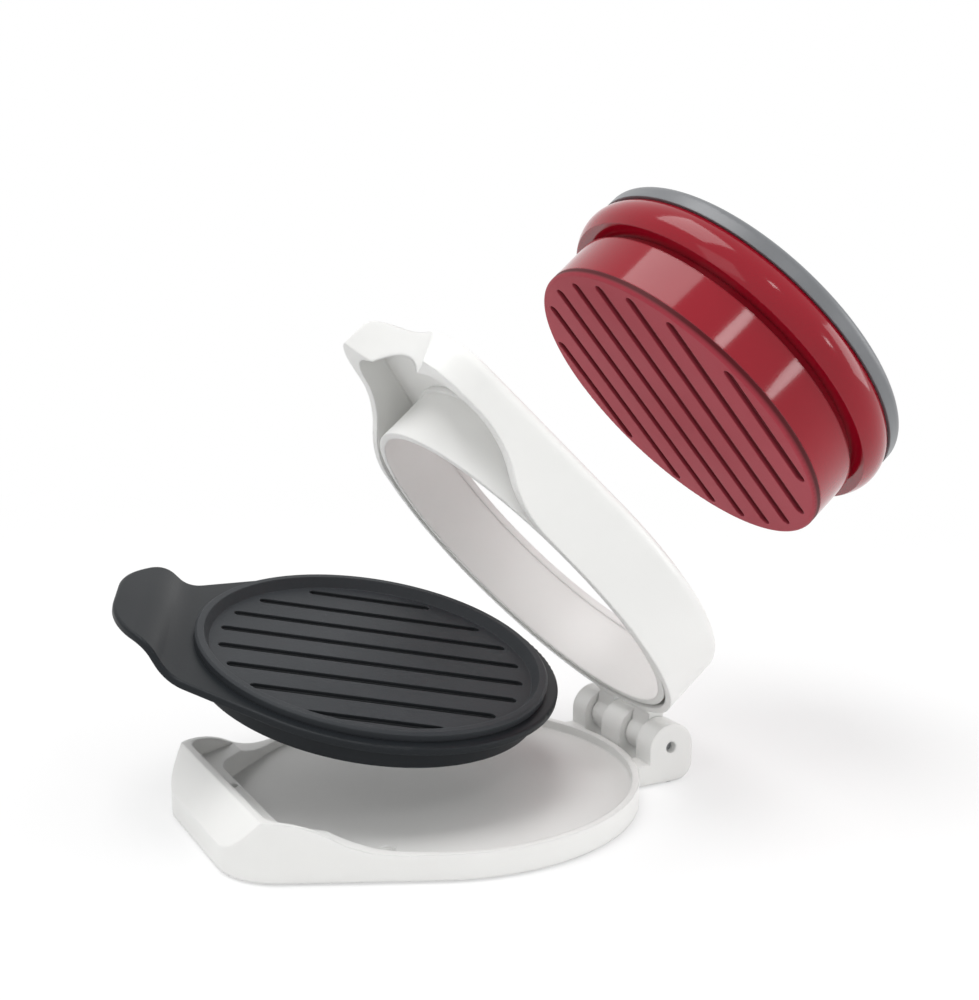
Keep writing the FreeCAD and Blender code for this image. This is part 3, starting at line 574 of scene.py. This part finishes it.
@dataclass
class Studio:
    """Pale floor, soft light and the camera.

    Args:
        camera_place: Where the camera stands, in metres.
        camera_aim: The point that it faces.
        focal_px: Focal length in pixels of the photograph's frame.
        image_side_px: The frame's longer side in pixels.
        sensor_mm: Width of the camera's sensor.
        floor_side: Side of the floor, in metres.
        paper: Colour of the floor.
        sky: Strength of the even light.
        bright_near: Distance within which the floor keeps the object's shadow, in metres.
        bright_far: Distance from which the floor is plain white.
        shadow_share: Share of the floor's own shade that shows under the object.
        lamp_aim: The point that the lamps face.
        boxes: The lamps.
    """

    camera_place: Vector = field(default_factory=lambda: Vector((-0.2207, -0.4605, 0.2043)))
    camera_aim: Vector = field(default_factory=lambda: Vector((0.0292, 0.0174, 0.0965)))
    focal_px: float = 1600.0
    image_side_px: float = 1000.0
    sensor_mm: float = 36.0
    floor_side: float = 12.0
    paper: str = "#F6F6F6"
    sky: float = 0.6
    bright_near: float = 0.2
    bright_far: float = 0.6
    shadow_share: float = 0.45
    lamp_aim: Vector = field(default_factory=lambda: Vector((0.02, 0.0, 0.08)))
    boxes: tuple[SoftBox, ...] = (
        SoftBox("top_lamp", (-0.35, 0.1, 1.5), 1.0, 13.0),
        SoftBox("right_lamp", (1.2, -0.6, 0.4), 0.7, 5.0),
        SoftBox("left_lamp", (-1.2, -0.5, 0.7), 0.7, 1.5),
        SoftBox("front_streak_lamp", (0.0, -1.1, 1.1), 0.16, 0.8),
        SoftBox("side_streak_lamp", (0.67, -1.35, 0.36), 0.16, 0.8))

    def build(self) -> None:
        """Set up floor, light and camera."""
        self.make_floor()
        self.make_sky()
        for box in self.boxes:
            box.make(self.lamp_aim)
        self.make_camera()
        bpy.context.scene.view_settings.view_transform = "Standard"

    def make_floor(self) -> None:
        """Lay the pale floor, which shows white and keeps the object's shadow."""
        half = self.floor_side / 2.0
        mesh = bpy.data.meshes.new("floor")
        corners = [(-half, -half, 0.0), (half, -half, 0.0), (half, half, 0.0), (-half, half, 0.0)]
        mesh.from_pydata(corners, [], [(0, 1, 2, 3)])
        floor = bpy.data.objects.new("floor", mesh)
        bpy.context.collection.objects.link(floor)
        material = bpy.data.materials.new("matte_paper_floor")
        material.use_nodes = True
        tree = material.node_tree
        tree.nodes.clear()
        paper = add_node(tree, "ShaderNodeBsdfDiffuse", {"Color": linear(self.paper)})
        glow = add_node(tree, "ShaderNodeEmission", {"Color": WHITE, "Strength": 1.0})
        share = add_node(tree, "ShaderNodeMath", {"operation": "MULTIPLY"},
                         {0: self.background_rays(tree), 1: self.brightening(tree)}).outputs[0]
        mixed = add_node(tree, "ShaderNodeMixShader",
                         links={0: share, 1: paper.outputs[0], 2: glow.outputs[0]})
        add_node(tree, "ShaderNodeOutputMaterial", links={"Surface": mixed.outputs[0]})
        mesh.materials.append(material)

    def brightening(self, tree: bpy.types.NodeTree) -> bpy.types.NodeSocket:
        """Let the floor grow to plain white away from the object's shadow.

        Args:
            tree: The floor's node tree.

        Returns:
            The share of plain white.
        """
        place = add_node(tree, "ShaderNodeTexCoord").outputs["Object"]
        distance = add_node(tree, "ShaderNodeVectorMath", {"operation": "LENGTH"}, {0: place})
        grow = add_node(tree, "ShaderNodeMapRange",
                        {"From Min": self.bright_near, "From Max": self.bright_far,
                         "To Min": 1.0 - self.shadow_share, "To Max": 1.0},
                        {"Value": distance.outputs["Value"]})
        return grow.outputs["Result"]

    @staticmethod
    def background_rays(tree: bpy.types.NodeTree) -> bpy.types.NodeSocket:
        """Tell rays that see the white background from rays that carry light.

        Args:
            tree: The node tree of the floor or of the world.

        Returns:
            One for rays from the camera, from a reflection or through something clear, else zero.
        """
        path = add_node(tree, "ShaderNodeLightPath")
        seen = add_node(tree, "ShaderNodeMath", {"operation": "MAXIMUM"},
                        {0: path.outputs["Is Camera Ray"], 1: path.outputs["Is Glossy Ray"]})
        return add_node(tree, "ShaderNodeMath", {"operation": "MAXIMUM"},
                        {0: seen.outputs[0], 1: path.outputs["Is Transmission Ray"]}).outputs[0]

    def make_sky(self) -> None:
        """Surround the scene with even white light."""
        world = bpy.data.worlds.new("studio")
        bpy.context.scene.world = world
        world.use_nodes = True
        tree = world.node_tree
        tree.nodes.clear()
        soft = add_node(tree, "ShaderNodeBackground", {"Color": WHITE, "Strength": self.sky})
        white = add_node(tree, "ShaderNodeBackground", {"Color": WHITE, "Strength": 1.0})
        mixed = add_node(tree, "ShaderNodeMixShader",
                         links={0: self.background_rays(tree), 1: soft.outputs[0],
                                2: white.outputs[0]})
        add_node(tree, "ShaderNodeOutputWorld", links={"Surface": mixed.outputs[0]})

    def make_camera(self) -> None:
        """Set the camera at the photograph's angle."""
        data = bpy.data.cameras.new("camera")
        data.sensor_width = self.sensor_mm
        data.lens = self.sensor_mm * self.focal_px / self.image_side_px
        camera = bpy.data.objects.new("camera", data)
        camera.location = self.camera_place
        sight = self.camera_aim - self.camera_place
        camera.rotation_euler = sight.to_track_quat("-Z", "Y").to_euler()
        bpy.context.collection.objects.link(camera)
        bpy.context.scene.camera = camera


def main() -> None:
    """Load the frame, dress each sub-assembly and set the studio."""
    logging.basicConfig(level=logging.INFO, format="%(name)s: %(message)s")
    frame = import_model()
    white = WHITE_SHELL.make()
    steel = PIN_STEEL.make()
    Base(frame).build(white, GREY_FOOT.make(), steel)
    Lid(frame).build(white)
    Tray(frame).build()
    Press(frame).build(steel)
    Studio().build()


if __name__ == "__main__":
    main()
